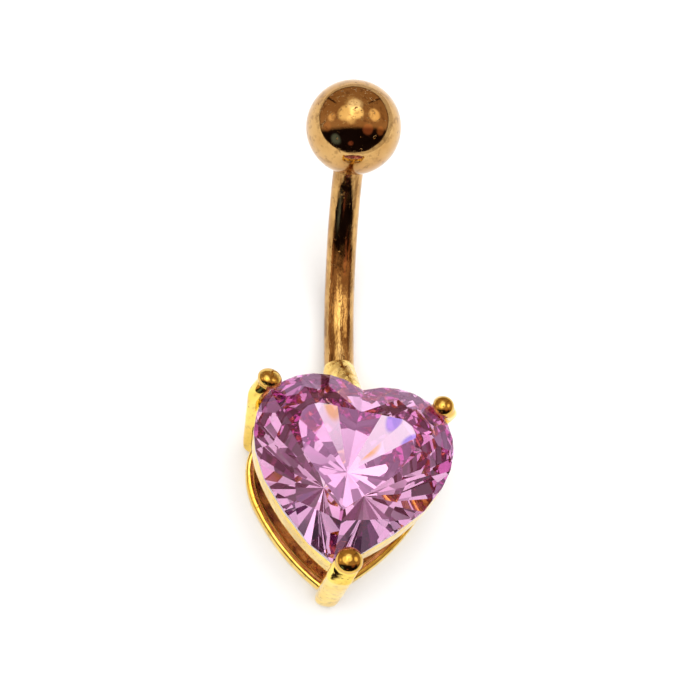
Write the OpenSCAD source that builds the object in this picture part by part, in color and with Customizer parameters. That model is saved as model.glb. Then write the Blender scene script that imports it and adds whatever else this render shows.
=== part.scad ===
// Navel ring: a curved bar with a screw ball at one end and a heart stone in a three-prong basket at the other.
// The basket lies flat on z = 0 with the stone's table up, and the bar runs towards +Y and bends up to the ball.

/* [Stone] */
// Width of the heart stone across both lobes
stone_w = 10.2; // [9:0.1:12]
// Height of the heart stone from the lobes to the tip
stone_h = 9.8; // [9:0.1:12]
// Height of the middle of the girdle over the base
girdle_z = 4.42; // [4.2:0.02:5.5]
// Thickness of the girdle
girdle_t = 0.3; // [0.15:0.05:0.5]
// Height of the crown over the girdle
crown_h = 1.4; // [1:0.05:2]
// Depth of the pavilion under the girdle
pavilion_h = 3.7; // [3:0.05:4]

/* [Basket] */
// Width of the base rail across both lobes
base_w = 9.6; // [9.2:0.1:11]
// Height of the base rail from the lobes to the tip
base_h = 9.4; // [9:0.1:11]
// How far the base rail's heart is set towards the tip
base_shift = 0.7; // [0:0.02:0.9]
// How far the base rail's heart is set to the left, as cast
base_side = 0.2; // [0:0.02:0.3]
// Turn of the base rail against the seat rail, as cast
base_turn = 5; // [-6:1:6]
// Height of the base rail's section
base_rail_h = 0.7; // [0.5:0.05:1]
// Wall of the base rail
base_rail_t = 0.5; // [0.4:0.05:0.8]
// Height of the ledge inside the base rail
base_ledge_h = 0.4; // [0.3:0.05:0.6]
// How far the ledge reaches in from the base rail's outline
base_ledge_t = 1.2; // [0.8:0.05:1.6]
// Height of the seat rail's section
seat_rail_h = 1.75; // [1:0.05:2.2]
// Wall of the seat rail
seat_rail_t = 0.5; // [0.3:0.05:0.7]
// Gap between the seat rail's top and the girdle
seat_drop = 0.1; // [0.05:0.01:0.4]
// Turn of the basket on the bar, seen from the front, as soldered
setting_turn = 10; // [-12:1:12]

/* [Prongs] */
// Width of a prong's band along the stone's edge
prong_w = 1.35; // [0.8:0.05:1.5]
// Thickness of a prong's band
prong_t = 0.9; // [0.6:0.05:1.1]
// How far a prong's foot stands out from the base rail's outline
foot_out = 0.1; // [-0.3:0.05:0.3]
// Height of the girdle's top over the place where a prong bends inwards
shoulder_drop = 0.3; // [0.1:0.05:0.8]
// Diameter of the domed head that holds the crown
head_d = 1.3; // [1:0.02:1.6]
// Share of its width that a head is high
head_flat = 0.68; // [0.5:0.02:1]
// Height of the head's middle over the girdle's top
head_rise = 0.63; // [0.5:0.01:0.8]
// Clearance between the stone and the metal
stone_gap = 0.06; // [0.03:0.01:0.12]

/* [Bar] */
// Diameter of the bar, 14 gauge
bar_d = 1.6; // [1.2:0.1:2]
// Radius of the bar's bend on its centre line
bend_r = 9.66; // [8:0.1:14]
// Angle that the bar bends through
bend_angle = 60; // [40:1:75]
// Distance from the basket's middle to the start of the bend
bend_start = 8.36; // [7.5:0.1:10]
// Height of the bar's underside over the base
bar_lift = 0.04; // [0.02:0.01:0.3]
// Length of the solder along the bar, from the notch of the heart
solder_l = 2.5; // [1.5:0.1:3]
// Thickness of the solder round the bar
solder_bar_d = 1.7; // [1.65:0.01:1.9]
// Thickness of the solder where it meets the seat rail
solder_top_d = 0.8; // [0.6:0.05:1.1]

/* [Ball] */
// Diameter of the screw ball
ball_d = 5; // [4:0.5:6]
// Diameter of the stud that the ball screws on
stud_d = 1.2; // [0.9:0.05:1.3]
// Length of the stud
stud_l = 2.8; // [2:0.1:3]
// Length of the stud's root inside the bar
stud_root = 0.3; // [0.2:0.1:0.6]
// Pitch of the stud's thread
thread_pitch = 0.25; // [0.2:0.05:0.35]
// Depth of the stud's thread
thread_depth = 0.08; // [0.05:0.01:0.12]
// Clearance round the stud in the ball's bore
bore_gap = 0.05; // [0.02:0.01:0.08]
// Depth of the bore past the stud's end
bore_end = 0.2; // [0.1:0.05:0.4]
// Gap between the bar's shoulder and the ball's flat
shoulder_gap = 0.03; // [0.02:0.01:0.08]

/* [Hidden] */
gold = "#d9a441";
rose_gold = "#c98b4e";
pink = "#d685b8";

// The heart's outline is four arcs a side, from the cleft over the lobe and down the flank to the tip.
// Azimuths are those of the outward normal, and the side and cheek radii are shares of the width.
cleft_azimuth = 121;
shoulder_azimuth = 60;
cheek_azimuth = -30;
side_share = 0.3;
cheek_share = 0.456;

// Columns of a row of arcs: centre x, centre y, radius, first and last azimuth
CX = 0; CY = 1; RAD = 2; FROM = 3; TO = 4;

// Arcs of the right half of a heart, its middle height at y = 0, moved inwards by inset
function heart_arcs(w, h, inset = 0) =
    let (side_r = side_share * w,
         cheek_r = cheek_share * w,
         shoulder_r = (w / 2 - side_r * (1 - cos(shoulder_azimuth)))
                      / (cos(shoulder_azimuth) - cos(cleft_azimuth)),
         // centres, with the shoulder arc's top at h / 2
         sx = -shoulder_r * cos(cleft_azimuth),
         sy = h / 2 - shoulder_r,
         dx = sx + (shoulder_r - side_r) * cos(shoulder_azimuth),
         dy = sy + (shoulder_r - side_r) * sin(shoulder_azimuth),
         kx = dx + side_r - cheek_r,
         ky = dy,
         // the flank arc starts where the cheek arc ends and closes at the tip, x = 0 and y = -h / 2
         jx = kx + cheek_r * cos(cheek_azimuth),
         jy = ky + cheek_r * sin(cheek_azimuth),
         tip_azimuth = -(2 * atan(jx / (jy + h / 2)) + cheek_azimuth),
         flank_r = jx / (cos(cheek_azimuth) - cos(tip_azimuth)),
         fx = jx - flank_r * cos(cheek_azimuth),
         fy = jy - flank_r * sin(cheek_azimuth))
    [[sx, sy, shoulder_r - inset, acos(-sx / (shoulder_r - inset)), shoulder_azimuth],
     [dx, dy, side_r - inset, shoulder_azimuth, 0],
     [kx, ky, cheek_r - inset, 0, cheek_azimuth],
     [fx, fy, flank_r - inset, cheek_azimuth, -acos(-fx / (flank_r - inset))]];

// The arc of an outline that has a given normal
function arc_at(arcs, azimuth) =
    azimuth > shoulder_azimuth ? arcs[0] : azimuth > 0 ? arcs[1] : azimuth > cheek_azimuth ? arcs[2] : arcs[3];

// Distance from the heart's middle to the tangent with a given normal
function reach(arcs, azimuth) =
    let (a = arc_at(arcs, azimuth)) a[CX] * cos(azimuth) + a[CY] * sin(azimuth) + a[RAD];

// Point of the outline with a given normal
function edge_point(arcs, azimuth) =
    let (a = arc_at(arcs, azimuth)) [a[CX] + a[RAD] * cos(azimuth), a[CY] + a[RAD] * sin(azimuth)];

stone_arcs = heart_arcs(stone_w, stone_h);
girdle_top = girdle_z + girdle_t / 2;
girdle_bottom = girdle_z - girdle_t / 2;
table_z = girdle_top + crown_h;
culet_z = girdle_bottom - pavilion_h;
blank = 4 * stone_w;

// Everything behind a plane whose normal has an azimuth and a lean from +Z, through a point at reach r
// and height z, with the plane moved out by a gap
module behind(azimuth, lean, r, z, gap)
    rotate([0, 0, azimuth]) translate([r, 0, z]) rotate([0, lean, 0])
        translate([-blank, -blank, gap - 2 * blank]) cube(2 * blank);

// Main facets of one lobe, and the girdle facets beside them
main_azimuths = [104, 76, 48, 20, -8, -34, -54];
half_step = 7;
edge_azimuths = [for (a = main_azimuths) each [a + half_step, a - half_step]];
star_azimuths = [90, 62, 34, 6, -21, -44];
main_crown_lean = 38;
edge_crown_lean = 45;
star_crown_lean = 27;
// Height over the girdle at which the star facets cross the main ones
star_rise = 0.62 * crown_h;
culet_y = 0.25;
edge_pavilion_steeper = 3.5;

// Reach of the outline from the culet's axis
function culet_reach(azimuth) = reach(stone_arcs, azimuth) - culet_y * sin(azimuth);

// One lobe of the stone, cut by its facets, all of them moved out by a gap
module stone_half(gap) {
    intersection() {
        translate([0, -blank / 2, culet_z - crown_h]) cube([blank, blank, table_z + gap - culet_z + crown_h]);
        intersection_for (a = edge_azimuths) behind(a, 90, reach(stone_arcs, a), girdle_z, gap);
        intersection_for (a = edge_azimuths) behind(a, edge_crown_lean, reach(stone_arcs, a), girdle_top, gap);
        intersection_for (a = main_azimuths) behind(a, main_crown_lean, reach(stone_arcs, a), girdle_top, gap);
        intersection_for (a = star_azimuths)
            behind(a, star_crown_lean, reach(stone_arcs, a) - star_rise / tan(main_crown_lean),
                   girdle_top + star_rise, gap);
        translate([0, culet_y, 0]) {
            intersection_for (a = main_azimuths)
                behind(a, 180 - atan(pavilion_h / culet_reach(a)), culet_reach(a), girdle_bottom, gap);
            intersection_for (a = edge_azimuths)
                behind(a, 180 - atan(pavilion_h / culet_reach(a)) - edge_pavilion_steeper,
                       culet_reach(a), girdle_bottom, gap);
        }
    }
}

// Both lobes, turned as the basket is
module whole_stone(gap) {
    rotate([0, 0, -setting_turn]) {
        stone_half(gap);
        mirror([1, 0, 0]) stone_half(gap);
    }
}

module heart_stone() color(pink) whole_stone(0);

// Points down one side of an outline, cleft to tip, with the same number of steps on each arc
arc_steps = 5;
function side_points(arcs) =
    [for (a = arcs) for (i = [0 : arc_steps - 1])
        let (t = a[FROM] + (a[TO] - a[FROM]) * i / arc_steps)
            [a[CX] + a[RAD] * cos(t), a[CY] + a[RAD] * sin(t)],
     let (a = arcs[3]) [a[CX] + a[RAD] * cos(a[TO]), a[CY] + a[RAD] * sin(a[TO])]];

// Points all round a heart, clockwise from the cleft
function heart_loop(w, h, inset) =
    let (side = side_points(heart_arcs(w, h, inset)), last = len(side) - 1)
    concat(side, [for (i = [last - 1 : -1 : 1]) [-side[i][0], side[i][1]]]);

// Height of an outline at the cleft
function cleft_y(arcs) = arcs[0][CY] + arcs[0][RAD] * sin(arcs[0][FROM]);

// Skin between neighbouring rings of equal length, each ring closed
function skin(rings, closed) =
    let (n = len(rings[0]), m = len(rings))
    [for (j = [0 : m - (closed ? 1 : 2)]) for (i = [0 : n - 1])
        let (a = j * n, b = ((j + 1) % m) * n, k = (i + 1) % n)
            each [[a + i, a + k, b + k], [a + i, b + k, b + i]]];

// Sections of the rails: how far in from the outline and how high, with the edges broken
function rail_section(t, h) = [[t / 4, 0], [0, h * 0.3], [0, h * 0.7], [t / 4, h],
                               [t * 3 / 4, h], [t, h * 0.7], [t, h * 0.3], [t * 3 / 4, 0]];
base_section = [[base_rail_t / 4, 0], [0, base_rail_h * 0.3], [0, base_rail_h * 0.7], [base_rail_t / 4, base_rail_h],
                [base_rail_t * 3 / 4, base_rail_h], [base_rail_t, base_ledge_h],
                [base_ledge_t - base_rail_t / 4, base_ledge_h], [base_ledge_t, base_ledge_h * 0.6],
                [base_ledge_t - base_rail_t / 4, 0]];

// Heart-shaped rail, its outer face on the outline and its underside at z = 0
module rail(w, h, section) {
    rings = [for (s = section) [for (p = heart_loop(w, h, s[0])) [p[0], p[1], s[1]]]];
    polyhedron([for (r = rings) each r], skin(rings, true));
}

seat_rail_top = girdle_bottom - seat_drop;

// The prongs: side of the heart, azimuths of the band's place on the stone and of its foot on the base
// rail, in shares of the common head size how far the shoulder and the head lie along the edge, how far
// the head stands out from it and how wide it is, and how many degrees it leans along the edge
SIDE = 0; AZIMUTH = 1; FOOT = 2; SHOULDER_ALONG = 3;
HEAD_ALONG = 4; HEAD_OUT = 5; HEAD_SIZE = 6; HEAD_LEAN = 7;
PRONGS = [[-1, 20, 28, 0.35, 0.72, 0.18, 1, 32], [1, 49, 55, 0, 0, 0.12, 0.86, 0],
          [1, -90, -90, 0.4, 0.58, -0.04, 1.08, 0]];

// Sections of a prong: share of the way from the foot to the shoulder, share of the way on from
// there to the head, and shares of its width and its thickness
RISE = 0; BEND = 1; WIDE = 2; THICK = 3;
PRONG_ROWS = [[0, 0, 0.6, 0.55], [0.02, 0, 0.76, 0.75], [0.06, 0, 0.88, 0.92], [0.15, 0, 0.92, 1],
              [0.6, 0, 0.98, 1], [1, 0, 1, 1], [1, 0.3, 1, 1], [1, 0.6, 1, 0.97], [1, 0.8, 0.96, 0.88],
              [1, 0.94, 0.86, 0.7], [1, 1, 0.72, 0.5]];
band_steps = 16;
band_corner = 0.75;

// Point where a prong stands on an outline of either lobe, the tip for the azimuth straight down
function prong_point(w, h, side, azimuth) =
    azimuth == -90 ? [0, -h / 2] : let (q = edge_point(heart_arcs(w, h), azimuth)) [side * q[0], q[1]];

// Section of a prong's band: thick along n, wide along t, its corners rounded by a power of the sine
function round_share(x) = sign(x) * pow(abs(x), band_corner);
function band_ring(at, n, t, wide, thick) =
    [for (i = [0 : band_steps - 1])
        let (a = -360 * i / band_steps, u = round_share(cos(a)) * thick / 2, v = round_share(sin(a)) * wide / 2)
            [at[0] + n[0] * u + t[0] * v, at[1] + n[1] * u + t[1] * v, at[2]]];

// Dome of a prong's head, its widest ring at z = 0
module head(d)
    rotate_extrude($fn = 48) polygon([for (a = [-90 : 15 : 90]) [cos(a) * d / 2, sin(a) * d / 2 * head_flat]]);

// Band that stands on the base rail, with its head over the stone's edge
module prong(p) {
    n = [p[SIDE] * cos(p[AZIMUTH]), sin(p[AZIMUTH])];
    t = [-n[1], n[0]];
    along = t * p[SIDE] * head_d;
    m = [p[SIDE] * cos(p[FOOT]), sin(p[FOOT])];
    on_base = prong_point(base_w, base_h, p[SIDE], p[FOOT]) - [base_side, base_shift] + m * foot_out;
    edge = prong_point(stone_w, stone_h, p[SIDE], p[AZIMUTH]);
    shoulder = edge + n * (stone_gap + prong_t / 2) + along * p[SHOULDER_ALONG];
    middle = edge + n * p[HEAD_OUT] * head_d + along * p[HEAD_ALONG];
    from = [on_base[0] * cos(base_turn) - on_base[1] * sin(base_turn),
            on_base[0] * sin(base_turn) + on_base[1] * cos(base_turn), 0];
    over = [shoulder[0], shoulder[1], girdle_top - shoulder_drop];
    to = [middle[0], middle[1], girdle_top + head_rise];
    rings = [for (s = PRONG_ROWS)
        band_ring(from + (over - from) * s[RISE] + (to - over) * s[BEND], n, t,
                  prong_w * s[WIDE], prong_t * s[THICK])];
    polyhedron([for (r = rings) each r],
               concat(skin(rings, false), [[for (i = [band_steps - 1 : -1 : 0]) i],
                      [for (i = [0 : band_steps - 1]) i + band_steps * (len(rings) - 1)]]));
    translate(to) rotate([0, p[HEAD_LEAN], 90 + p[SIDE] * p[AZIMUTH]]) head(head_d * p[HEAD_SIZE]);
}

module basket() {
    rotate([0, 0, base_turn]) translate([-base_side, -base_shift, 0]) rail(base_w, base_h, base_section);
    translate([0, 0, seat_rail_top - seat_rail_h])
        rail(stone_w, stone_h, rail_section(seat_rail_t, seat_rail_h));
    for (p = PRONGS) prong(p);
}

bar_z = bar_d / 2 + bar_lift;
// The bar starts inside the base rail's notch
bar_start = cleft_y(heart_arcs(base_w, base_h)) - base_shift - base_rail_t;
bar_end = [0, bend_start + bend_r * sin(bend_angle), bar_z + bend_r * (1 - cos(bend_angle))];
// How far a sphere of the ball's size reaches past a hole of the bar's size
ball_reach = sqrt(pow(ball_d / 2, 2) - pow(bar_d / 2, 2));

// Frame at the bar's end, with +Z along the bar
module at_bar_end() translate(bar_end) rotate([bend_angle - 90, 0, 0]) children();

// Stud with a thread of plain ridges, rooted in the bar
thread_turns = floor(stud_l / thread_pitch) - 1;
root_r = stud_d / 2 - thread_depth;
module stud() {
    rotate_extrude($fn = 48) polygon(concat(
        [[0, -stud_root], [root_r, -stud_root]],
        [for (i = [1 : thread_turns]) each [[root_r, i * thread_pitch], [stud_d / 2, (i + 0.5) * thread_pitch]]],
        [[root_r, stud_l], [0, stud_l]]));
}

module bar() {
    translate([0, bar_start, bar_z]) rotate([-90, 0, 0]) cylinder(d = bar_d, h = bend_start - bar_start, $fn = 64);
    translate([0, bend_start, bar_z + bend_r]) rotate([90, 0, 90])
        rotate_extrude(start = -90, angle = bend_angle, $fn = 180) translate([bend_r, 0]) circle(d = bar_d, $fn = 64);
    at_bar_end() stud();
}

// Solder that fills the notch between the lobes, from the seat rail down to the bar
notch_y = cleft_y(stone_arcs);
notch = [notch_y * sin(setting_turn), notch_y * cos(setting_turn)];
solder_z = solder_bar_d / 2 + bar_lift;
module solder() {
    hull() {
        translate([0, notch[1] + solder_l, solder_z]) sphere(d = solder_bar_d, $fn = 20);
        translate([notch[0] / 3, notch[1], solder_z]) sphere(d = solder_bar_d, $fn = 20);
        translate([notch[0] * 3 / 4, notch[1] + solder_top_d / 4, seat_rail_top - seat_rail_h / 2])
            sphere(d = solder_top_d, $fn = 20);
    }
}

// The soldered metal, with the stone's seat cut out of it
module bar_and_setting() {
    color(gold) difference() {
        union() {
            rotate([0, 0, -setting_turn]) basket();
            bar();
            solder();
        }
        whole_stone(stone_gap);
    }
}

module ball() {
    color(rose_gold) at_bar_end() difference() {
        translate([0, 0, ball_reach]) sphere(d = ball_d, $fn = 96);
        translate([0, 0, shoulder_gap - ball_d]) cylinder(d = ball_d, h = ball_d, $fn = 64);
        cylinder(d = stud_d + 2 * bore_gap, h = stud_l + bore_end, $fn = 48);
    }
}

ball();
bar_and_setting();
heart_stone();
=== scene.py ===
import math

import bmesh
import bpy
import numpy as np
from mathutils import Matrix, Vector


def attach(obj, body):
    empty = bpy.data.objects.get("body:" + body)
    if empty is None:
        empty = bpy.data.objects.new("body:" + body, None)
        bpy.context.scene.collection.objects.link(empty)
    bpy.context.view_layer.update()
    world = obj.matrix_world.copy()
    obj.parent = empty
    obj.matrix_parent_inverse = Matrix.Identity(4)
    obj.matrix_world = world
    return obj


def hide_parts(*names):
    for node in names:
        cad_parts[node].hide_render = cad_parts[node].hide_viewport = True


# Dresses the navel ring: fine meshes for its metal and its stone, materials, light and the camera.
# Shapes are worked out in millimetres from the same sizes as the solids, and scaled to metres at the end.

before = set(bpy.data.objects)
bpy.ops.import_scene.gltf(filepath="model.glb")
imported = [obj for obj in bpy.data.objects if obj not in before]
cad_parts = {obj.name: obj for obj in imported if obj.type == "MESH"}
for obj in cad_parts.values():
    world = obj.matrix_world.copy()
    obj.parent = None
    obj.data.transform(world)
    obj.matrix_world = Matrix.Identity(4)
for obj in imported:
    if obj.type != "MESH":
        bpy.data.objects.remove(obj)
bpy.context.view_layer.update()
MM = 0.001

# Sizes in mm
STONE_W, STONE_H, GIRDLE_Z, GIRDLE_T, CROWN_H, PAVILION_H = 10.2, 9.8, 4.42, 0.3, 1.4, 3.7
BASE_W, BASE_H, BASE_SHIFT, BASE_SIDE, BASE_TURN = 9.6, 9.4, 0.7, 0.2, 5
BASE_RAIL_H, BASE_RAIL_T, BASE_LEDGE_H, BASE_LEDGE_T = 0.7, 0.5, 0.4, 1.2
SEAT_RAIL_H, SEAT_RAIL_T, SEAT_DROP = 1.75, 0.5, 0.1
SETTING_TURN = 10
PRONG_W, PRONG_T, FOOT_OUT, SHOULDER_DROP = 1.35, 0.9, 0.1, 0.3
HEAD_D, HEAD_RISE, HEAD_FLAT = 1.3, 0.63, 0.68
STONE_GAP = 0.06
BAR_D, BEND_R, BEND_ANGLE, BEND_START, BAR_LIFT = 1.6, 9.66, 60, 8.36, 0.04
SOLDER_L, SOLDER_BAR_D, SOLDER_TOP_D = 2.5, 1.7, 0.8
BALL_D, STUD_D, STUD_L, THREAD_PITCH, THREAD_DEPTH = 5.0, 1.2, 2.8, 0.25, 0.08
BORE_GAP, BORE_END, SHOULDER_GAP = 0.05, 0.2, 0.03

GIRDLE_TOP = GIRDLE_Z + GIRDLE_T / 2
GIRDLE_BOTTOM = GIRDLE_Z - GIRDLE_T / 2
SEAT_RAIL_TOP = GIRDLE_BOTTOM - SEAT_DROP
BAR_Z = BAR_D / 2 + BAR_LIFT


def cos(a):
    return math.cos(math.radians(a))


def sin(a):
    return math.sin(math.radians(a))


# The heart's outline

CLEFT_AZIMUTH, SHOULDER_AZIMUTH, CHEEK_AZIMUTH = 121, 60, -30
SIDE_SHARE, CHEEK_SHARE = 0.3, 0.456
ARC_STEPS = 20


def heart_arcs(w, h, inset=0.0):
    """Arcs of the right half as (centre x, centre y, radius, first azimuth, last azimuth)."""
    side, cheek = SIDE_SHARE * w, CHEEK_SHARE * w
    shoulder = (w / 2 - side * (1 - cos(SHOULDER_AZIMUTH))) / (cos(SHOULDER_AZIMUTH) - cos(CLEFT_AZIMUTH))
    sx, sy = -shoulder * cos(CLEFT_AZIMUTH), h / 2 - shoulder
    dx, dy = sx + (shoulder - side) * cos(SHOULDER_AZIMUTH), sy + (shoulder - side) * sin(SHOULDER_AZIMUTH)
    kx, ky = dx + side - cheek, dy
    jx, jy = kx + cheek * cos(CHEEK_AZIMUTH), ky + cheek * sin(CHEEK_AZIMUTH)
    tip = -(2 * math.degrees(math.atan(jx / (jy + h / 2))) + CHEEK_AZIMUTH)
    flank = jx / (cos(CHEEK_AZIMUTH) - cos(tip))
    fx, fy = jx - flank * cos(CHEEK_AZIMUTH), jy - flank * sin(CHEEK_AZIMUTH)
    return [(sx, sy, shoulder - inset, math.degrees(math.acos(-sx / (shoulder - inset))), SHOULDER_AZIMUTH),
            (dx, dy, side - inset, SHOULDER_AZIMUTH, 0),
            (kx, ky, cheek - inset, 0, CHEEK_AZIMUTH),
            (fx, fy, flank - inset, CHEEK_AZIMUTH, -math.degrees(math.acos(-fx / (flank - inset))))]


def arc_at(arcs, azimuth):
    return arcs[sum(azimuth <= limit for limit in (SHOULDER_AZIMUTH, 0, CHEEK_AZIMUTH))]


def reach(arcs, azimuth):
    cx, cy, r = arc_at(arcs, azimuth)[:3]
    return cx * cos(azimuth) + cy * sin(azimuth) + r


def arc_point(arc, azimuth):
    cx, cy, r = arc[:3]
    return cx + r * cos(azimuth), cy + r * sin(azimuth)


def edge_point(arcs, azimuth):
    return np.array(arc_point(arc_at(arcs, azimuth), azimuth))


def heart_loop(w, h, inset):
    """Points all round the heart, clockwise from the cleft."""
    arcs = heart_arcs(w, h, inset)
    side = [arc_point(arc, arc[3] + (arc[4] - arc[3]) * i / ARC_STEPS)
            for arc in arcs for i in range(ARC_STEPS)]
    side.append(arc_point(arcs[3], arcs[3][4]))
    return np.array(side + [(-x, y) for x, y in side[-2:0:-1]])


# Mesh helpers, in mm

def turned(points, degrees=-SETTING_TURN):
    """Points turned about +Z, by default as the basket is turned on its bar."""
    c, s = cos(degrees), sin(degrees)
    return np.asarray(points) @ np.array([[c, s, 0], [-s, c, 0], [0, 0, 1]])


def add_rings(bm, rings, loop=False):
    """Adds a skin over rings of equal length, in a closed loop or with a cap at each end."""
    rows = [[bm.verts.new(p) for p in ring] for ring in rings]
    n = len(rows[0])
    for j in range(len(rows) if loop else len(rows) - 1):
        a, b = rows[j], rows[(j + 1) % len(rows)]
        for i in range(n):
            k = (i + 1) % n
            bm.faces.new((a[i], a[k], b[k], b[i]))
    if not loop:
        bm.faces.new(rows[0][::-1])
        bm.faces.new(rows[-1])


def lathe(bm, profile, steps, place):
    """Adds a turned form. The profile runs from the axis back to the axis as (radius, height)."""
    rings = [[place((r * cos(360 * i / steps), r * sin(360 * i / steps), z)) for i in range(steps)]
             for r, z in profile[1:-1]]
    rows = [[bm.verts.new(p) for p in ring] for ring in rings]
    first, last = (bm.verts.new(place((0, 0, profile[k][1]))) for k in (0, -1))
    for i in range(steps):
        k = (i + 1) % steps
        bm.faces.new((first, rows[0][k], rows[0][i]))
        bm.faces.new((last, rows[-1][i], rows[-1][k]))
        for a, b in zip(rows, rows[1:]):
            bm.faces.new((a[i], a[k], b[k], b[i]))


def turn(bm, degrees):
    """Turns all that a bmesh holds about +Z."""
    spin = Matrix.Rotation(math.radians(degrees), 3, "Z")
    bmesh.ops.rotate(bm, verts=bm.verts, cent=(0, 0, 0), matrix=spin)


def add_piece(bm, piece):
    """Moves all that one bmesh holds into another."""
    mesh = bpy.data.meshes.new("piece")
    piece.to_mesh(mesh)
    piece.free()
    bm.from_mesh(mesh)
    bpy.data.meshes.remove(mesh)


def add_sphere(bm, centre, d, shape=Matrix()):
    bmesh.ops.create_uvsphere(bm, u_segments=32, v_segments=20, radius=d / 2,
                              matrix=Matrix.Translation(centre) @ shape)


def round_angles(steps):
    return np.linspace(0, 360, steps, endpoint=False)


def make_object(name, bm, material, smooth=True, scale=MM):
    bmesh.ops.recalc_face_normals(bm, faces=bm.faces)
    mesh = bpy.data.meshes.new(name)
    bm.transform(Matrix.Scale(scale, 4))
    bm.to_mesh(mesh)
    bm.free()
    obj = bpy.data.objects.new(name, mesh)
    bpy.context.scene.collection.objects.link(obj)
    mesh.materials.append(material)
    mesh.polygons.foreach_set("use_smooth", [smooth] * len(mesh.polygons))
    return obj


# The stone's facets

MAIN_AZIMUTHS = [104, 76, 48, 20, -8, -34, -54]
EDGE_AZIMUTHS = [a + s for a in MAIN_AZIMUTHS for s in (7, -7)]
STAR_AZIMUTHS = [90, 62, 34, 6, -21, -44]
CULET_Y = 0.25
STAR_RISE = 0.62 * CROWN_H
MAIN_LEAN, EDGE_LEAN, STAR_LEAN, PAVILION_STEEPER = 38, 45, 27, 3.5
UNCUT_BLOCK = 60


def stone_planes(gap=0.0):
    """Planes of one lobe as (point, outward normal), without the middle plane, each moved out by a gap."""
    arcs = heart_arcs(STONE_W, STONE_H)
    rows = [(a, 90, reach(arcs, a), GIRDLE_Z, 0) for a in EDGE_AZIMUTHS]
    rows += [(a, EDGE_LEAN, reach(arcs, a), GIRDLE_TOP, 0) for a in EDGE_AZIMUTHS]
    rows += [(a, MAIN_LEAN, reach(arcs, a), GIRDLE_TOP, 0) for a in MAIN_AZIMUTHS]
    rows += [(a, STAR_LEAN, reach(arcs, a) - STAR_RISE / math.tan(math.radians(MAIN_LEAN)),
              GIRDLE_TOP + STAR_RISE, 0) for a in STAR_AZIMUTHS]
    for azimuths, steeper in ((MAIN_AZIMUTHS, 0), (EDGE_AZIMUTHS, PAVILION_STEEPER)):
        for a in azimuths:
            r = reach(arcs, a) - CULET_Y * sin(a)
            lean = 180 - math.degrees(math.atan(PAVILION_H / r)) - steeper
            rows.append((a, lean, r, GIRDLE_BOTTOM, CULET_Y))
    planes = []
    for a, lean, r, z, dy in rows:
        n = np.array([sin(lean) * cos(a), sin(lean) * sin(a), cos(lean)])
        planes.append((np.array([r * cos(a), r * sin(a) + dy, z]) + n * gap, n))
    planes.append((np.array([0, 0, GIRDLE_TOP + CROWN_H + gap]), np.array([0.0, 0.0, 1.0])))
    return planes


def stone_mesh():
    bm = bmesh.new()
    for side in (1, -1):
        half = bmesh.new()
        bmesh.ops.create_cube(half, size=UNCUT_BLOCK)
        cuts = stone_planes() + [(np.zeros(3), np.array([-1.0, 0.0, 0.0]))]
        for co, no in cuts:
            bmesh.ops.bisect_plane(half, geom=half.verts[:] + half.edges[:] + half.faces[:], dist=1e-6,
                                   plane_co=co, plane_no=no, clear_outer=True)
            bmesh.ops.holes_fill(half, edges=[e for e in half.edges if e.is_boundary], sides=0)
        inner = [f for f in half.faces if all(abs(v.co.x) < 1e-5 for v in f.verts)]
        bmesh.ops.delete(half, geom=inner, context="FACES")
        bmesh.ops.transform(half, matrix=Matrix.Diagonal((side, 1, 1, 1)), verts=half.verts)
        add_piece(bm, half)
    bmesh.ops.remove_doubles(bm, verts=bm.verts, dist=1e-4)
    turn(bm, -SETTING_TURN)
    return bm


# The basket

RAIL_SIDES = 16
SKIN_VOXEL, QUICK_VOXEL = 0.065, 0.08


def rail_rings(w, h, wall, rise, z):
    rings = []
    for i in range(RAIL_SIDES):
        a = 360 * i / RAIL_SIDES
        u, v = (math.copysign(abs(x) ** 0.5, x) for x in (cos(a), sin(a)))
        rings.append([(x, y, z + rise * (0.5 + v / 2)) for x, y in heart_loop(w, h, wall * (0.5 - u / 2))])
    return rings


# A prong: side of the heart, azimuths of the band and its foot, in shares of the common head size how far
# the shoulder and the head lie along the edge, how far the head stands out from it and how wide it is, lean
PRONGS = [(-1, 20, 28, 0.35, 0.72, 0.18, 1, 32),
          (1, 49, 55, 0, 0, 0.12, 0.86, 0),
          (1, -90, -90, 0.4, 0.58, -0.04, 1.08, 0)]
# Shares of the way to the shoulder, of the way on to the head, of the width and of the thickness
PRONG_ROWS = [(0, 0, 0.6, 0.55), (0.02, 0, 0.76, 0.75), (0.06, 0, 0.88, 0.92), (0.15, 0, 0.92, 1),
              (0.6, 0, 0.98, 1), (1, 0, 1, 1), (1, 0.3, 1, 1), (1, 0.6, 1, 0.97), (1, 0.8, 0.96, 0.88),
              (1, 0.94, 0.86, 0.7), (1, 1, 0.72, 0.5)]
PRONG_SIDES = 24


def prong_point(w, h, azimuth):
    return np.array([0, -h / 2]) if azimuth == -90 else edge_point(heart_arcs(w, h), azimuth)


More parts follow.
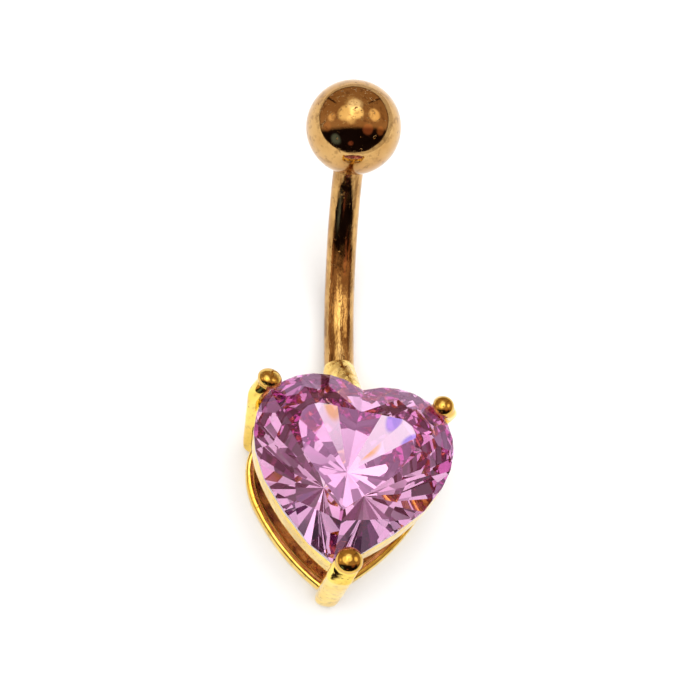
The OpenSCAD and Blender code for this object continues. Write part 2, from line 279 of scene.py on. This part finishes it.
def add_prong(bm, side, azimuth, foot_azimuth, shoulder_along, head_along, head_out, head_size, head_lean):
    n = np.array([side * cos(azimuth), sin(azimuth)])
    t = np.array([-n[1], n[0]])
    along = t * side * HEAD_D
    m = np.array([side * cos(foot_azimuth), sin(foot_azimuth)])
    across = np.array([side, 1])
    foot = prong_point(BASE_W, BASE_H, foot_azimuth) * across - [BASE_SIDE, BASE_SHIFT] + m * FOOT_OUT
    foot = turned([[*foot, 0]], BASE_TURN)[0][:2]
    edge = prong_point(STONE_W, STONE_H, azimuth) * across
    shoulder = edge + n * (STONE_GAP + PRONG_T / 2) + along * shoulder_along
    middle = edge + n * head_out * HEAD_D + along * head_along
    a, b, c = (np.array([*foot, 0]), np.array([*shoulder, GIRDLE_TOP - SHOULDER_DROP]),
               np.array([*middle, GIRDLE_TOP + HEAD_RISE]))
    rings = []
    for rise, bend, wide, thick in PRONG_ROWS:
        at = a + (b - a) * rise + (c - b) * bend
        rings.append([])
        for p in round_angles(PRONG_SIDES):
            u, v = (math.copysign(abs(x) ** 0.75, x) for x in (cos(p), sin(p)))
            q = at[:2] + n * u * PRONG_T * thick / 2 + t * v * PRONG_W * wide / 2
            rings[-1].append((q[0], q[1], at[2]))
    add_rings(bm, rings)
    add_sphere(bm, c, HEAD_D * head_size,
               Matrix.Rotation(math.radians(90 + side * azimuth), 4, "Z")
               @ Matrix.Rotation(math.radians(head_lean), 4, "Y") @ Matrix.Diagonal((1, 1, HEAD_FLAT, 1)))


NOTCH_ARC = heart_arcs(STONE_W, STONE_H)[0]
NOTCH_Y = NOTCH_ARC[1] + NOTCH_ARC[2] * sin(NOTCH_ARC[3])
NOTCH = (NOTCH_Y * sin(SETTING_TURN), NOTCH_Y * cos(SETTING_TURN))


def add_solder(bm):
    """Adds the web of solder between the bar, the notch and the seat rail."""
    web = bmesh.new()
    foot_z, top_z = SOLDER_BAR_D / 2 + BAR_LIFT, SEAT_RAIL_TOP - SEAT_RAIL_H / 2
    for centre, d in (((0, NOTCH[1] + SOLDER_L, foot_z), SOLDER_BAR_D),
                      ((NOTCH[0] / 3, NOTCH[1], foot_z), SOLDER_BAR_D),
                      ((NOTCH[0] * 3 / 4, NOTCH[1] + SOLDER_TOP_D / 4, top_z), SOLDER_TOP_D)):
        add_sphere(web, centre, d)
    hull = bmesh.ops.convex_hull(web, input=web.verts)
    bmesh.ops.delete(web, geom=[v for v in hull["geom_interior"] + hull["geom_unused"]
                                if isinstance(v, bmesh.types.BMVert)], context="VERTS")
    add_piece(bm, web)


def cut_seat(points):
    """Moves the points that lie in the stone, or nearer to it than the gap, out through the nearest facet."""
    own = turned(points, SETTING_TURN)
    planes = stone_planes(STONE_GAP)
    for side in (1, -1):
        near = np.where((own[:, 0] * side >= 0) & (own[:, 2] < GIRDLE_TOP + CROWN_H + 1))[0]
        q = own[near] * [side, 1, 1]
        depth = np.stack([(q - co) @ no for co, no in planes], 1)
        k = depth.argmax(1)
        most = depth[np.arange(len(q)), k]
        normals = np.array([no for _, no in planes])[k]
        q -= np.where(most < 0, most, 0)[:, None] * normals
        own[near] = q * [side, 1, 1]
    return turned(own)


def basket_slot(at, normal):
    """Material of a face of the basket: 1 is the solder, 2 the ledge inside the base rail, in painted shade,
    0 the rest.
    """
    if at.y > NOTCH[1] + SOLDER_TOP_D / 4 and abs(at.x - NOTCH[0]) < BAR_D:
        return 1
    return 2 if at.z < (BASE_LEDGE_H + BASE_RAIL_H) / 2 and normal.z > 0.6 else 0


def make_basket(material, solder, ledge_painted_shade):
    bm = bmesh.new()
    add_rings(bm, rail_rings(BASE_W, BASE_H, BASE_RAIL_T, BASE_RAIL_H, 0), loop=True)
    add_rings(bm, rail_rings(BASE_W, BASE_H, BASE_LEDGE_T, BASE_LEDGE_H, 0), loop=True)
    bmesh.ops.translate(bm, verts=bm.verts, vec=(-BASE_SIDE, -BASE_SHIFT, 0))
    turn(bm, BASE_TURN)
    seat_z = SEAT_RAIL_TOP - SEAT_RAIL_H
    add_rings(bm, rail_rings(STONE_W, STONE_H, SEAT_RAIL_T, SEAT_RAIL_H, seat_z), loop=True)
    for row in PRONGS:
        add_prong(bm, *row)
    turn(bm, -SETTING_TURN)
    add_solder(bm)
    obj = make_object("basket", bm, material, scale=1)
    skin = obj.modifiers.new("skin", "REMESH")
    skin.mode, skin.voxel_size = "VOXEL", SKIN_VOXEL
    soft = obj.modifiers.new("soft", "SMOOTH")
    soft.factor, soft.iterations = 0.5, 6
    mesh = bpy.data.meshes.new_from_object(obj.evaluated_get(bpy.context.evaluated_depsgraph_get()))
    obj.modifiers.clear()
    obj.data = mesh
    co = np.empty(len(mesh.vertices) * 3)
    mesh.vertices.foreach_get("co", co)
    co = cut_seat(co.reshape(-1, 3)) * MM
    mesh.vertices.foreach_set("co", co.ravel())
    mesh.polygons.foreach_set("use_smooth", [True] * len(mesh.polygons))
    mesh.materials.append(solder)
    # The ledge's material is painted shade.
    mesh.materials.append(ledge_painted_shade)
    slots = [basket_slot(face.center / MM, face.normal) for face in mesh.polygons]
    mesh.polygons.foreach_set("material_index", slots)
    mesh.update()
    return obj


# The bar and the ball

BAR_END = np.array([0, BEND_START + BEND_R * sin(BEND_ANGLE), BAR_Z + BEND_R * (1 - cos(BEND_ANGLE))])
BASE_ARC = heart_arcs(BASE_W, BASE_H)[0]
BAR_START = BASE_ARC[1] + BASE_ARC[2] * sin(BASE_ARC[3]) - BASE_SHIFT - BASE_RAIL_T
BAR_SIDES, STUD_SIDES, BALL_SIDES = 64, 48, 128
STRAIGHT_STEPS, BEND_STEPS, THREAD_STEPS, BALL_STEPS = 8, 90, 8, 72
# Rings on the bar's two end faces as shares of its width, and how deep the stud's root stands in the bar
START_SHARE, END_SHARE, STUD_SINK = 0.94, 0.96, 0.1
# Bevel of the bore, the flare of its mouth, and a ring inside the mouth that keeps its shading even
BORE_BEVEL, MOUTH_FLARE, MOUTH_RING = 0.1, 0.08, 0.4


def at_bar_end(p):
    """Place of a point in the frame at the bar's end, whose +Z runs along the bar."""
    x, y, z = p
    c, s = cos(BEND_ANGLE), sin(BEND_ANGLE)
    return BAR_END + np.array([x, -s * y + c * z, c * y + s * z]) * [-1, 1, 1]


def make_bar(material):
    path = [(y, BAR_Z, 0) for y in np.linspace(BAR_START, BEND_START, STRAIGHT_STEPS)[:-1]]
    path += [(BEND_START + BEND_R * sin(a), BAR_Z + BEND_R * (1 - cos(a)), a)
             for a in np.linspace(0, BEND_ANGLE, BEND_STEPS)]
    rings = []
    for share, (y, z, a) in [(START_SHARE, path[0])] + [(1, p) for p in path] + [(END_SHARE, path[-1])]:
        r = BAR_D / 2 * share
        rings.append([(r * cos(t), y - sin(a) * r * sin(t), z + cos(a) * r * sin(t))
                      for t in round_angles(BAR_SIDES)])
    bm = bmesh.new()
    add_rings(bm, rings)
    root = STUD_D / 2 - THREAD_DEPTH
    rings = [[at_bar_end((root * cos(t), root * sin(t), -STUD_SINK)) for t in round_angles(STUD_SIDES)]]
    for z in np.arange(0, STUD_L, THREAD_PITCH / THREAD_STEPS):
        ease = min(1, z / THREAD_PITCH, (STUD_L - z) / THREAD_PITCH)
        rings.append([])
        for t in round_angles(STUD_SIDES):
            r = root + THREAD_DEPTH * ease * (1 - abs(((z / THREAD_PITCH - t / 360) % 1) * 2 - 1))
            rings[-1].append(at_bar_end((r * cos(t), r * sin(t), z)))
    add_rings(bm, rings)
    return make_object("bar", bm, material)


def make_ball(material):
    reach_z = math.sqrt(BALL_D ** 2 / 4 - BAR_D ** 2 / 4)
    bore, flat = STUD_D / 2 + BORE_GAP, SHOULDER_GAP
    start = math.degrees(math.asin((reach_z - flat) / (BALL_D / 2)))
    depth = STUD_L + BORE_END
    profile = [(0, depth), (bore - BORE_BEVEL, depth), (bore, depth - BORE_BEVEL), (bore, flat + MOUTH_RING),
               (bore, flat + BORE_BEVEL), (bore + MOUTH_FLARE, flat)]
    profile += [(BALL_D / 2 * cos(a), reach_z + BALL_D / 2 * sin(a))
                for a in np.linspace(-start, 90, BALL_STEPS)]
    bm = bmesh.new()
    lathe(bm, profile[:-1] + [(0, reach_z + BALL_D / 2)], BALL_SIDES, at_bar_end)
    return make_object("ball_skin", bm, material)


# Node helpers

class Graph:
    """Adds nodes to a tree. Inputs are given by name or number, as values or as other nodes' outputs."""

    def __init__(self, tree):
        self.tree = tree
        tree.nodes.clear()

    def add(self, kind, inputs=(), out=0, **settings):
        node = self.tree.nodes.new(kind)
        for key, value in settings.items():
            setattr(node, key, value)
        for key, value in dict(inputs).items():
            if isinstance(value, bpy.types.NodeSocket):
                self.tree.links.new(value, node.inputs[key])
            else:
                node.inputs[key].default_value = value
        return node.outputs[out] if len(node.outputs) else node

    def math(self, operation, a, b=0.0):
        return self.add("ShaderNodeMath", {0: a, 1: b}, operation=operation)

    def vector(self, operation, a, b=(0, 0, 0), out=0):
        return self.add("ShaderNodeVectorMath", {0: a, 1: b}, out=out, operation=operation)

    def mix(self, share, a, b):
        return self.add("ShaderNodeMix", {0: share, 6: a, 7: b}, out=2, data_type="RGBA")

    def step(self, value, low, high, to_low=0.0, to_high=1.0):
        return self.add("ShaderNodeMapRange", {"Value": value, "From Min": low, "From Max": high,
                                               "To Min": to_low, "To Max": to_high},
                        interpolation_type="SMOOTHSTEP")

    def axis(self, at, name):
        return self.add("ShaderNodeSeparateXYZ", {0: at}, out=name)

    def facing(self, direction, place):
        """Cosine of the angle between a direction and a place."""
        return self.vector("DOT_PRODUCT", direction, tuple(Vector(place).normalized()), out="Value")

    def ray(self, kind):
        return self.add("ShaderNodeLightPath", out=kind)


def new_material(name):
    material = bpy.data.materials.new(name)
    material.use_nodes = True
    return material, Graph(material.node_tree)


def mm_coordinates(g):
    """Object coordinates, in mm."""
    return g.vector("MULTIPLY", g.add("ShaderNodeTexCoord", out="Object"), (1000, 1000, 1000))


def noise(g, at, scale, detail=2.0, roughness=0.5):
    return g.add("ShaderNodeTexNoise", {"Vector": at, "Scale": scale, "Detail": detail,
                                        "Roughness": roughness})


# Gold

ROSE, DEEP_ROSE = (0.54, 0.32, 0.115), (0.45, 0.24, 0.075)
BRONZE, DEEP_BRONZE = (0.58, 0.34, 0.12), (0.36, 0.19, 0.06)
# The third yellow is painted reflection: the brown room that the prong heads mirror.
YELLOW, DEEP_YELLOW, PAINTED_REFLECTION_YELLOW = (0.90, 0.65, 0.16), (0.76, 0.50, 0.09), (0.62, 0.38, 0.08)
PALE_YELLOW, OCHRE = (1.0, 0.74, 0.25), (0.70, 0.45, 0.12)
# Amber and umber are painted shade on the ledge between the rails.
LEDGE_SHADE_AMBER, LEDGE_SHADE_UMBER = (0.58, 0.34, 0.05), (0.13, 0.05, 0.02)
# Dark brown of stain marks and pits, and of the painted reflection along the bar.
STAIN_AND_PAINTED_REFLECTION = (0.16, 0.07, 0.02)
PIT_DEPTH = 0.015


def gold(name, bright, deep, waves=0.02, grain=0.002, pitted=0.5, stained=0.4, matt=0.0,
         along=(1.0, 1.0, 1.0), ends=None, painted_reflection_heights=None, painted_reflection_offset=None):
    """Worn gold plating, with painted reflection where asked.

    Its tint clouds from bright to deep. Waves and grain are heights in mm. The grain is drawn out along the
    axes whose scale in along is small, and fades between the two places on the Y axis in ends. Pitted,
    stained and matt are the strengths of the dark pits, the brown stain marks and the dull streaks. Between
    two given heights the tint turns to a brownish gold, painted reflection of the brown room that the prong
    heads mirror. A dark line may run along Y on each side of the middle at a given distance off it, painted
    reflection of the dark bands that the bar mirrors.
    """
    material, g = new_material(name)
    at = mm_coordinates(g)
    drawn = g.vector("MULTIPLY", at, along)
    tint = g.mix(g.step(noise(g, at, 0.55, 3), 0.35, 0.7), (*bright, 1), (*deep, 1))
    # Between two given heights the tint turns brownish: painted reflection of the brown room the prong heads
    # mirror.
    if painted_reflection_heights:
        tint = g.mix(g.step(g.axis(at, "Z"), *painted_reflection_heights), tint, (*PAINTED_REFLECTION_YELLOW, 1))
    worn = g.step(noise(g, at, 0.45, 2), 0.42, 0.62)
    specks = g.math("MULTIPLY", g.step(noise(g, at, 6.0, 4, 0.7), 0.61, 0.69), worn)
    pits = g.math("MULTIPLY", g.math("MAXIMUM", g.step(noise(g, at, 3.1, 2), 0.69, 0.73), specks), pitted)
    stain_and_painted_reflection_mask = g.math("MULTIPLY", g.step(noise(g, drawn, 2.4, 5, 0.65), 0.50, 0.66), stained)
    # A dark line on each side of the middle, broken up by noise: painted reflection of the dark bands the bar
    # mirrors.
    if painted_reflection_offset:
        off = g.math("ABSOLUTE", g.math("SUBTRACT", g.math("ABSOLUTE", g.axis(at, "X")), painted_reflection_offset))
        broken = g.step(noise(g, drawn, 3.0, 4, 0.6), 0.36, 0.56, 0.1, 0.85)
        stain_and_painted_reflection_mask = g.math("MAXIMUM", stain_and_painted_reflection_mask, g.math("MULTIPLY", g.step(off, 0.03, 0.13, 1.0, 0.0), broken))
    # Pits, stain marks and the painted reflection along the bar take the dark brown.
    colour = g.mix(g.math("MAXIMUM", pits, stain_and_painted_reflection_mask), tint, (*STAIN_AND_PAINTED_REFLECTION, 1))
    scratches = g.step(noise(g, g.vector("MULTIPLY", drawn, (1.0, 0.12, 1.0)), 9, 1), 0.6, 0.75)
    streaks = g.step(noise(g, drawn, 2.2, 4, 0.6), 0.42, 0.62)
    rough = g.step(noise(g, at, 1.7, 4), 0.3, 0.8, 0.04, 0.11)
    for mark, strength in ((scratches, 0.06), (pits, 0.3), (streaks, matt)):
        rough = g.math("ADD", rough, g.math("MULTIPLY", mark, strength))
    grains = g.math("MULTIPLY", noise(g, drawn, 3.4, 3, 0.6), grain)
    if ends:
        grains = g.math("MULTIPLY", grains, g.step(g.axis(at, "Y"), *ends, 1.0, 0.2))
    height = g.math("ADD", g.math("MULTIPLY", noise(g, at, 0.9, 1), waves),
                    g.math("MULTIPLY", pits, -PIT_DEPTH))
    height = g.math("ADD", height, grains)
    bump = g.add("ShaderNodeBump", {"Strength": 1.0, "Distance": MM, "Height": height})
    g.add("ShaderNodeOutputMaterial", {"Surface": g.add("ShaderNodeBsdfPrincipled", {
        "Base Color": colour, "Metallic": 1.0, "Roughness": rough, "Normal": bump})})
    return material


BALL_GOLD = gold("ball_gold", ROSE, DEEP_ROSE, pitted=0.8, stained=0.5)
# The bar's dark line on each side of its middle is painted reflection.
BAR_GOLD = gold("bar_gold", BRONZE, DEEP_BRONZE, waves=0.03, grain=0.055, stained=0.65, matt=0.16,
                along=(1.0, 0.25, 0.4), ends=(11.5, 14.0), painted_reflection_offset=0.44)
# Painted reflection: the prong heads turn brownish from just above the girdle up.
SETTING_GOLD = gold("setting_gold", YELLOW, DEEP_YELLOW, waves=0.05, grain=0.004, pitted=0.7, stained=0.3,
                    matt=0.04, painted_reflection_heights=(GIRDLE_TOP + 0.2, GIRDLE_TOP + HEAD_RISE))
# Painted shade: the ledge inside the base rail, between the rails, is darkened where shade falls.
LEDGE_PAINTED_SHADE_GOLD = gold("ledge_painted_shade_gold", LEDGE_SHADE_AMBER, LEDGE_SHADE_UMBER, waves=0.10, grain=0.02, pitted=0.9, stained=0.8)
SOLDER_GOLD = gold("solder_gold", PALE_YELLOW, OCHRE, waves=0.20, grain=0.05, pitted=0.8, stained=0.4,
                   matt=0.35)


# The stone

STONE_IOR = 2.15
# Tints of the cut surface, of what it mirrors and of its depth
STONE_TINT, STONE_MIRROR, STONE_DEPTH = (1.0, 0.91, 0.975, 1), (1.0, 0.45, 0.9, 1), (0.86, 0.38, 0.74, 1)
STONE_DENSITY = 100.0
GIRDLE_DARK, GIRDLE_PALE = (0.62, 0.47, 0.60, 1), (0.80, 0.66, 0.78, 1)


def girdle_material():
    """Frosted ground edge of the stone."""
    material, g = new_material("frosted_girdle")
    shade = g.mix(noise(g, mm_coordinates(g), 5, 4), GIRDLE_DARK, GIRDLE_PALE)
    g.add("ShaderNodeOutputMaterial", {"Surface": g.add("ShaderNodeBsdfPrincipled", {
        "Base Color": shade, "Roughness": 0.45, "Transmission Weight": 0.25, "IOR": STONE_IOR})})
    return material


def stone_material():
    material, g = new_material("pink_stone")
    at = mm_coordinates(g)
    rough = g.step(noise(g, at, 4, 3), 0.45, 0.8, 0.0, 0.03)
    bsdf = g.add("ShaderNodeBsdfPrincipled", {"Base Color": STONE_TINT, "Roughness": rough,
                                              "Transmission Weight": 1.0, "IOR": STONE_IOR,
                                              "Specular Tint": STONE_MIRROR})
    depth = g.add("ShaderNodeVolumeAbsorption", {"Color": STONE_DEPTH, "Density": STONE_DENSITY})
    g.add("ShaderNodeOutputMaterial", {"Surface": bsdf, "Volume": depth})
    return material


basket = make_basket(SETTING_GOLD, SOLDER_GOLD, LEDGE_PAINTED_SHADE_GOLD)
bar = make_bar(BAR_GOLD)
ball = make_ball(BALL_GOLD)
stone = make_object("stone", stone_mesh(), stone_material(), smooth=False)
stone.data.materials.append(girdle_material())
for face in stone.data.polygons:
    face.material_index = int(abs(face.normal.z) < 0.1)
for piece, body, node, slot in ((basket, "bar", "bar_and_setting", "yellow_gold"),
                                (bar, "bar", "bar_and_setting", "rose_gold"),
                                (ball, "ball", "ball", "rose_gold"),
                                (stone, "bar", "heart_stone", "pink_stone")):
    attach(piece, body)
    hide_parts(node)

# Camera: the photograph's angle, with +Y up the picture and a roll

AZIMUTH, ELEVATION, ROLL, DISTANCE = -16.27, 65.96, 17.33, 110
TARGET = Vector((-0.204, 7.851, 3.0)) * MM
FOCAL_PIXELS, WIDTH = 2095.3, 680
to_camera = Vector((sin(AZIMUTH) * cos(ELEVATION), -cos(AZIMUTH) * cos(ELEVATION), sin(ELEVATION)))
up = (Vector((0, 0, 1)) - to_camera * to_camera.z).normalized()
right = up.cross(to_camera)
picture_right = right * cos(ROLL) + up * sin(ROLL)
picture_up = up * cos(ROLL) - right * sin(ROLL)
camera = bpy.data.objects.new("camera", bpy.data.cameras.new("camera"))
bpy.context.scene.collection.objects.link(camera)
camera.matrix_world = (Matrix.Translation(TARGET + to_camera * DISTANCE * MM)
                       @ Matrix((picture_right, picture_up, to_camera)).transposed().to_4x4())
camera.data.sensor_width = 36
camera.data.lens = FOCAL_PIXELS / WIDTH * camera.data.sensor_width
camera.data.clip_start, camera.data.clip_end = 0.001, 10
bpy.context.scene.camera = camera

# The room. Metal mirrors a dark brown room with warm lamps over the paper, the stone looks out at the pale
# hood over the table, the paper gets its light from above, and the camera sees white.


def mirrored(x, y):
    """Direction that a ball mirrors to the camera at a place given in shares of its radius."""
    n = picture_right * x + picture_up * y + to_camera * math.sqrt(1 - x * x - y * y)
    return n * (2 * n.dot(to_camera)) - to_camera


def add_lamps(g, direction, room, lamps):
    """Room with round soft lamps added: direction, inner and outer angle, colour, strength."""
    for place, inner, outer, colour, strength in lamps:
        glow = g.step(g.facing(direction, place), cos(outer), cos(inner))
        room = g.add("ShaderNodeMix", {0: glow, 6: room, 7: (*(c * strength for c in colour), 1)}, out=2,
                     data_type="RGBA", blend_type="ADD")
    return room


# Lamps: place on the ball that mirrors them, inner and outer angle, colour, strength
METAL_LAMPS = [((-0.15, 0.25), 10, 24, (1.0, 1.06, 0.85), 1.2),
               ((0.06, 0.26), 9, 19, (1.0, 1.06, 0.85), 1.4),
               ((-0.05, 0.10), 4, 14, (1.0, 1.0, 0.8), 0.7),
               ((0.43, 0.22), 7, 16, (1.0, 0.95, 0.7), 1.2),
               ((0.03, 0.42), 7, 19, (0.95, 1.15, 1.3), 1.1),
               ((-0.06, 0.50), 5, 16, (1.0, 1.0, 0.8), 0.25),
               ((-0.45, 0.18), 2, 12, (1.0, 0.85, 0.6), 0.9),
               ((-0.38, -0.28), 6, 15, (0.35, 0.6, 0.9), 0.35),
               ((-0.06, -0.38), 2, 8, (0.9, 0.3, 0.25), 0.3),
               ((0.30, -0.09), 8, 15, (0.7, 0.27, 0.2), 0.45),
               ((0.55, -0.10), 6, 12, (0.7, 0.3, 0.15), 0.4),
               ((-0.55, -0.02), 5, 12, (0.7, 0.3, 0.15), 0.25)]
DARK, LOW_WALL = (0.05, 0.02, 0.012, 1), (0.012, 0.007, 0.010, 1)
WALL, HIGH_WALL, MIRRORED_PAPER = (0.56, 0.36, 0.24, 1), (0.46, 0.29, 0.18, 1), (0.95, 0.95, 0.95, 1)
# Dark seams of the tent, from one place to another on the ball
SEAMS = [((-0.56, 0.63), (-0.36, 0.47)), ((0.55, 0.58), (0.27, 0.43))]
# The paper sweeps up to the right and away from the camera, and ends short of the camera's side
PAPER_TILT, PAPER_EDGE = (0.12, 0.06), (0.0, 0.02)
HOOD_PLACE, HOOD_SCALE = (-6.9, -3.4, 5.7), 2.0
# Panes of the hood: direction, inner and outer angle, brightness
PANES = [((-0.52, 0.33, 0.79), 14, 26, 1.3), ((0.32, 0.32, 0.89), 12, 22, 0.12),
         ((0.82, -0.35, 0.45), 14, 26, 0.2), ((0.60, -0.05, 0.80), 5, 10, 1.0),
         ((-0.10, -0.15, 0.98), 5, 11, 1.1), ((-0.10, 0.25, 0.96), 4, 9, 0.3)]
# Flashes of colour: direction, inner and outer angle, colour, strength
FLASHES = [((0.08, -0.86, 0.50), 6, 9, (1.0, 0.55, 0.05), 1.0),
           ((-0.64, -0.66, 0.39), 6, 9, (0.3, 0.3, 1.0), 1.0)]


def metal_room(g, direction):
    """Brown room over dark lower walls, with lamps and seams, that ends at the paper."""
    height = g.vector("DOT_PRODUCT", direction, tuple(picture_up), out="Value")
    upper = g.mix(g.step(height, 0.1, 0.9), WALL, HIGH_WALL)
    room = g.mix(g.step(height, -0.20, 0.0), LOW_WALL, upper)
    room = add_lamps(g, direction, room, [(mirrored(*lamp[0]), *lamp[1:]) for lamp in METAL_LAMPS])
    for start, end in SEAMS:
        a, b = mirrored(*start), mirrored(*end)
        off = g.math("ABSOLUTE", g.facing(direction, a.cross(b)))
        seam = g.math("MULTIPLY", g.step(off, 0.012, 0.035, 1.0, 0.0),
                      g.step(g.facing(direction, a + b), cos(26), cos(16)))
        room = g.mix(seam, room, DARK)
    rise = g.facing(direction, Vector((0, 0, 1)) - PAPER_TILT[0] * picture_right - PAPER_TILT[1] * picture_up)
    room = g.mix(g.step(rise, 0.02, 0.10, 0.75, 0.0), room, DARK)
    return g.mix(g.step(rise, *PAPER_EDGE), MIRRORED_PAPER, room)


def stone_hood(g, direction):
    """Pale hood of brighter and darker panes, with flashes of colour."""
    panes = g.step(noise(g, g.vector("ADD", direction, HOOD_PLACE), HOOD_SCALE, 2), 0.44, 0.54, 0.2, 1.5)
    level = 0.8
    for place, inner, outer, brightness in PANES:
        share = g.step(g.facing(direction, place), cos(outer), cos(inner))
        level = g.add("ShaderNodeMix", {0: share, 2: level, 3: brightness}, data_type="FLOAT")
    hood = g.vector("SCALE", (1.0, 0.9, 0.98))
    g.tree.links.new(g.math("MULTIPLY", level, panes), hood.node.inputs["Scale"])
    return add_lamps(g, direction, hood, FLASHES)


world = bpy.data.worlds.new("room")
bpy.context.scene.world = world
world.use_nodes = True
g = Graph(world.node_tree)
direction = g.vector("NORMALIZE", g.add("ShaderNodeTexCoord", out="Generated"))
LOW_LIGHT, OVERHEAD_LIGHT = (0.1, 0.1, 0.1, 1), (1.75, 1.75, 1.75, 1)
overhead = g.mix(g.step(g.axis(direction, "Z"), 0.3, 0.75), LOW_LIGHT, OVERHEAD_LIGHT)
# Little of the light for the paper comes through the stone
through = g.mix(g.math("MINIMUM", g.ray("Diffuse Depth"), 1.0), stone_hood(g, direction),
                (0.02, 0.01, 0.01, 1))
sky = metal_room(g, direction)
for kind, seen in (("Is Transmission Ray", through), ("Is Diffuse Ray", overhead),
                   ("Is Camera Ray", (1, 1, 1, 1))):
    sky = g.mix(g.ray(kind), sky, seen)
g.add("ShaderNodeOutputWorld", {"Surface": g.add("ShaderNodeBackground", {"Color": sky, "Strength": 1.0})})

# Floor: a sheet of white paper, lit from above, a little brighter to the camera and in the metal. Through the
# stone it shows the light that the facets gather on it, with gleams of split colour.
PAPER_RADIUS, PAPER_CENTRE = 74, (0, 18, 0)
# Gleams: place in mm, radius, colour
GLEAMS = [((-0.08, 1.0, 0), 0.55, (1.0, 0.60, 0.08)), ((-0.42, 1.2, 0), 0.3, (0.25, 0.75, 0.6)),
          ((1.5, 1.0, 0), 0.5, (0.32, 0.30, 0.95))]
PAPER_LIFTS = [("Is Camera Ray", 0.10), ("Is Glossy Ray", 0.20)]


def paper_material():
    material, g = new_material("white_paper")
    at = mm_coordinates(g)
    shade = g.mix(noise(g, at, 3, 4), (0.88, 0.88, 0.88, 1), (0.92, 0.92, 0.92, 1))
    glow = (1.0, 0.9, 0.98, 1)
    for place, radius, colour in GLEAMS:
        away = g.vector("DISTANCE", at, place, out="Value")
        glow = g.mix(g.step(away, radius * 0.6, radius, 1.0, 0.0), glow, (*colour, 1))
    lift = 0.0
    for kind, strength in PAPER_LIFTS:
        lift = g.math("ADD", lift, g.math("MULTIPLY", g.ray(kind), strength))
    lit = g.add("ShaderNodeAddShader", {
        0: g.add("ShaderNodeBsdfDiffuse", {"Color": shade}),
        1: g.add("ShaderNodeEmission", {"Color": (1, 1, 1, 1), "Strength": lift})})
    through_stone = g.add("ShaderNodeEmission", {"Color": glow, "Strength": 1.1})
    g.add("ShaderNodeOutputMaterial", {"Surface": g.add("ShaderNodeMixShader", {
        0: g.ray("Is Transmission Ray"), 1: lit, 2: through_stone})})
    return material


bm = bmesh.new()
bmesh.ops.create_circle(bm, cap_ends=True, segments=96, radius=PAPER_RADIUS,
                        matrix=Matrix.Translation(PAPER_CENTRE))
floor = make_object("floor", bm, paper_material(), smooth=False)


def soft_light(name, place, size, power):
    """Large soft lamp that lights the paper and shows in no mirror."""
    lamp = bpy.data.objects.new(name, bpy.data.lights.new(name, "AREA"))
    bpy.context.scene.collection.objects.link(lamp)
    lamp.location = place
    lamp.rotation_euler = (-Vector(place)).to_track_quat("-Z", "Y").to_euler()
    lamp.data.shape, lamp.data.size, lamp.data.energy = "DISK", size, power
    lamp.visible_glossy = lamp.visible_transmission = lamp.visible_camera = False


soft_light("key", (0.10, 0.14, 0.26), 0.22, 0.1)
bpy.context.scene.view_settings.view_transform = "Standard"
# A cut stone passes a ray on many times before it lets it out
cycles = bpy.context.scene.cycles
cycles.max_bounces, cycles.glossy_bounces, cycles.transmission_bounces = 32, 24, 24
